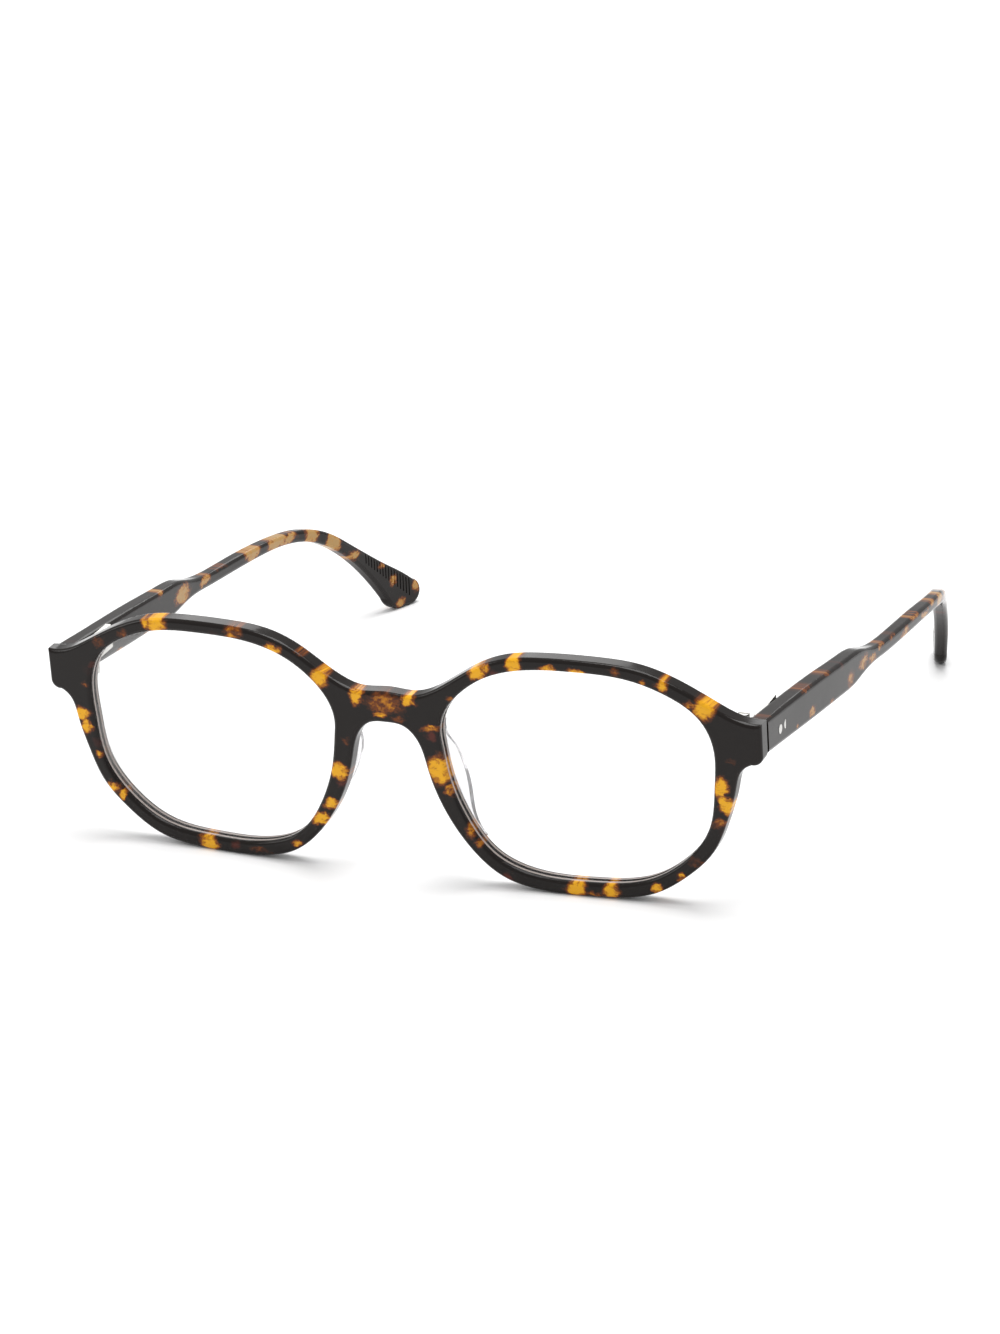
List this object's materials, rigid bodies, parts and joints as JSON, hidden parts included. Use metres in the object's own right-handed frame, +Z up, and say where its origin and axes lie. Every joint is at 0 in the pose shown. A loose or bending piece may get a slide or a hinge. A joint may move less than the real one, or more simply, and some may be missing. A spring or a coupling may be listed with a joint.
{
  "type": "eyeglasses frame",
  "caption": "Eyeglasses with a tortoiseshell acetate front, clear lenses, bonded nose pads and folding temples on metal barrel hinges.",
  "frame": {"origin": "centre of the footprint, on the surface the glasses stand on", "axes": "+X across towards the wearer's left, -Y out of the front, +Y back along the temples, +Z up"},
  "size_m": [0.1422, 0.1458, 0.0457],
  "materials": {
    "acetate": "polished tortoiseshell acetate, near black with amber patches",
    "lens": "clear, polished",
    "clear_acetate": "clear crystal acetate, polished",
    "steel": "nickel-coloured, satin"
  },
  "bodies": {
    "front": {"front": "acetate", "lens_left": "lens", "lens_right": "lens", "nose_pad_left": "clear_acetate", "nose_pad_right": "clear_acetate", "hinge_front_leaf_left": "steel", "hinge_front_leaf_right": "steel", "hinge_screw_left": "steel", "hinge_screw_right": "steel"},
    "left_temple": {"temple_left": "acetate", "hinge_temple_leaf_left": "steel", "rivet_left_front": "steel", "rivet_left_rear": "steel"},
    "right_temple": {"temple_right": "acetate", "hinge_temple_leaf_right": "steel", "rivet_right_front": "steel", "rivet_right_rear": "steel"}
  },
  "joints": [
    {"name": "left_temple_hinge", "type": "hinge", "parent": "front", "child": "left_temple", "pos_m": [0.0639, -0.06181, 0.03214], "axis": [0, -0.0715, 0.9974], "range_deg": [0, 85]},
    {"name": "right_temple_hinge", "type": "hinge", "parent": "front", "child": "right_temple", "pos_m": [-0.0639, -0.06181, 0.03214], "axis": [0, 0.0715, -0.9974], "range_deg": [0, 75]}
  ]
}
